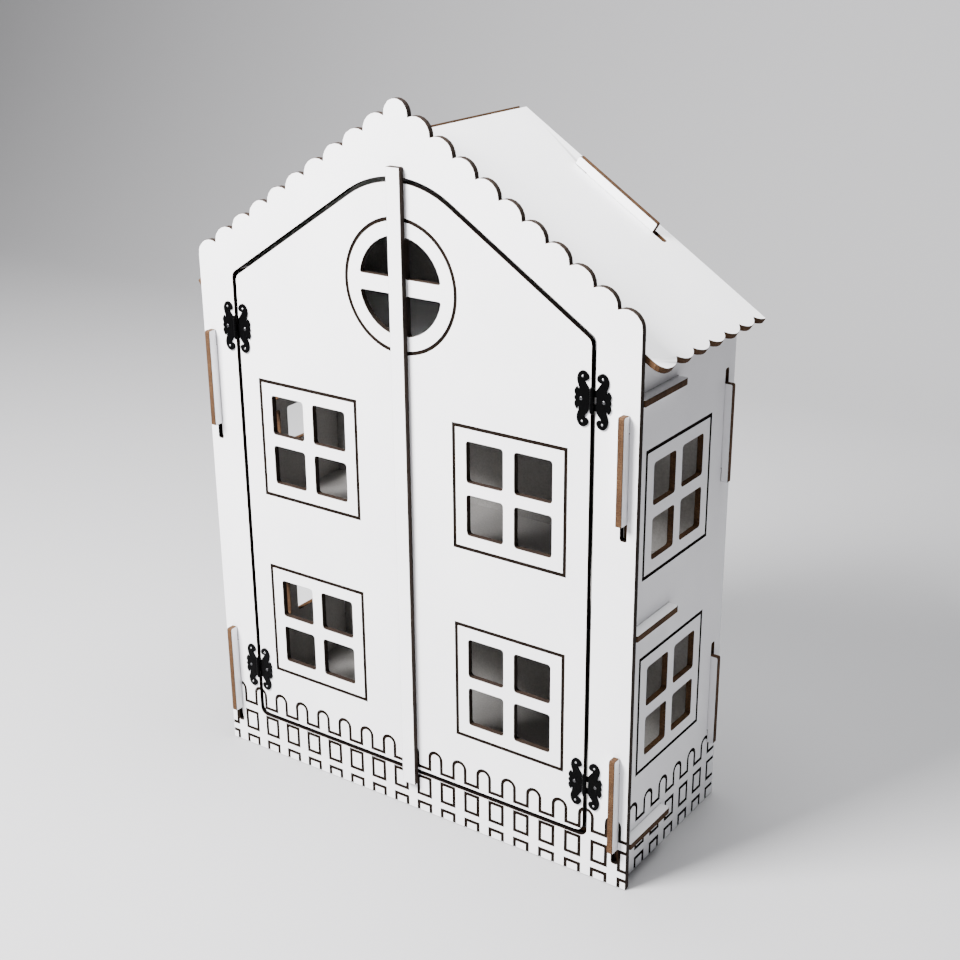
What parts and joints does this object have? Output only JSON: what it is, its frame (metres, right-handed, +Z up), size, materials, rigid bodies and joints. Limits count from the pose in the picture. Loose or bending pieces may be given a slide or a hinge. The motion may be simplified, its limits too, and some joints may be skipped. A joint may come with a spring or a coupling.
{
  "type": "dollhouse",
  "caption": "Flat-pack wooden dollhouse of slotted white boards, with a scalloped gable, paned windows cut into its hinged front doors, and open rooms behind them.",
  "frame": {"origin": "on the ground, under the middle of the whole object's bounding box", "axes": "+Z up, +Y from the doors towards the back, +X to the right as seen from the front"},
  "size_m": [0.5236, 0.206, 0.7005],
  "materials": {
    "white_board": "white laminate faces with engraved lines, and brown laser-cut edges",
    "black_metal": "satin black",
    "bright_steel": "bright zinc-plated heads"
  },
  "bodies": {
    "house": {"front_frame": "white_board", "left_wall": "white_board", "right_wall": "white_board", "back_panel": "white_board", "bottom_floor": "white_board", "middle_floor": "white_board", "attic_floor": "white_board", "left_roof": "white_board", "right_roof": "white_board", "hinge_lower_left_pin": "black_metal", "hinge_lower_left_frame_leaf": "black_metal", "hinge_lower_left_frame_screw": "bright_steel", "hinge_lower_left_frame_nail_top": "bright_steel", "hinge_lower_left_frame_nail_bottom": "bright_steel", "hinge_lower_right_pin": "black_metal", "hinge_lower_right_frame_leaf": "black_metal", "hinge_lower_right_frame_screw": "bright_steel", "hinge_lower_right_frame_nail_top": "bright_steel", "hinge_lower_right_frame_nail_bottom": "bright_steel", "hinge_upper_left_pin": "black_metal", "hinge_upper_left_frame_leaf": "black_metal", "hinge_upper_left_frame_screw": "bright_steel", "hinge_upper_left_frame_nail_top": "bright_steel", "hinge_upper_left_frame_nail_bottom": "bright_steel", "hinge_upper_right_pin": "black_metal", "hinge_upper_right_frame_leaf": "black_metal", "hinge_upper_right_frame_screw": "bright_steel", "hinge_upper_right_frame_nail_top": "bright_steel", "hinge_upper_right_frame_nail_bottom": "bright_steel"},
    "left_door": {"left_door": "white_board", "door_batten": "white_board", "hinge_lower_left_door_leaf": "black_metal", "hinge_lower_left_door_screw": "bright_steel", "hinge_lower_left_door_nail_top": "bright_steel", "hinge_lower_left_door_nail_bottom": "bright_steel", "hinge_upper_left_door_leaf": "black_metal", "hinge_upper_left_door_screw": "bright_steel", "hinge_upper_left_door_nail_top": "bright_steel", "hinge_upper_left_door_nail_bottom": "bright_steel"},
    "right_door": {"right_door": "white_board", "hinge_lower_right_door_leaf": "black_metal", "hinge_lower_right_door_screw": "bright_steel", "hinge_lower_right_door_nail_top": "bright_steel", "hinge_lower_right_door_nail_bottom": "bright_steel", "hinge_upper_right_door_leaf": "black_metal", "hinge_upper_right_door_screw": "bright_steel", "hinge_upper_right_door_nail_top": "bright_steel", "hinge_upper_right_door_nail_bottom": "bright_steel"}
  },
  "joints": [
    {"name": "left_door_hinge", "type": "hinge", "parent": "house", "child": "left_door", "pos_m": [-0.2003, -0.0958, 0.2841], "axis": [0, 0, -1], "range_deg": [0, 165]},
    {"name": "right_door_hinge", "type": "hinge", "parent": "house", "child": "right_door", "pos_m": [0.2003, -0.0958, 0.2841], "axis": [0, 0, 1], "range_deg": [0, 165]}
  ],
  "couplings": [
    {"joint": "right_door_hinge", "follows": "left_door_hinge", "ratio": 1}
  ]
}
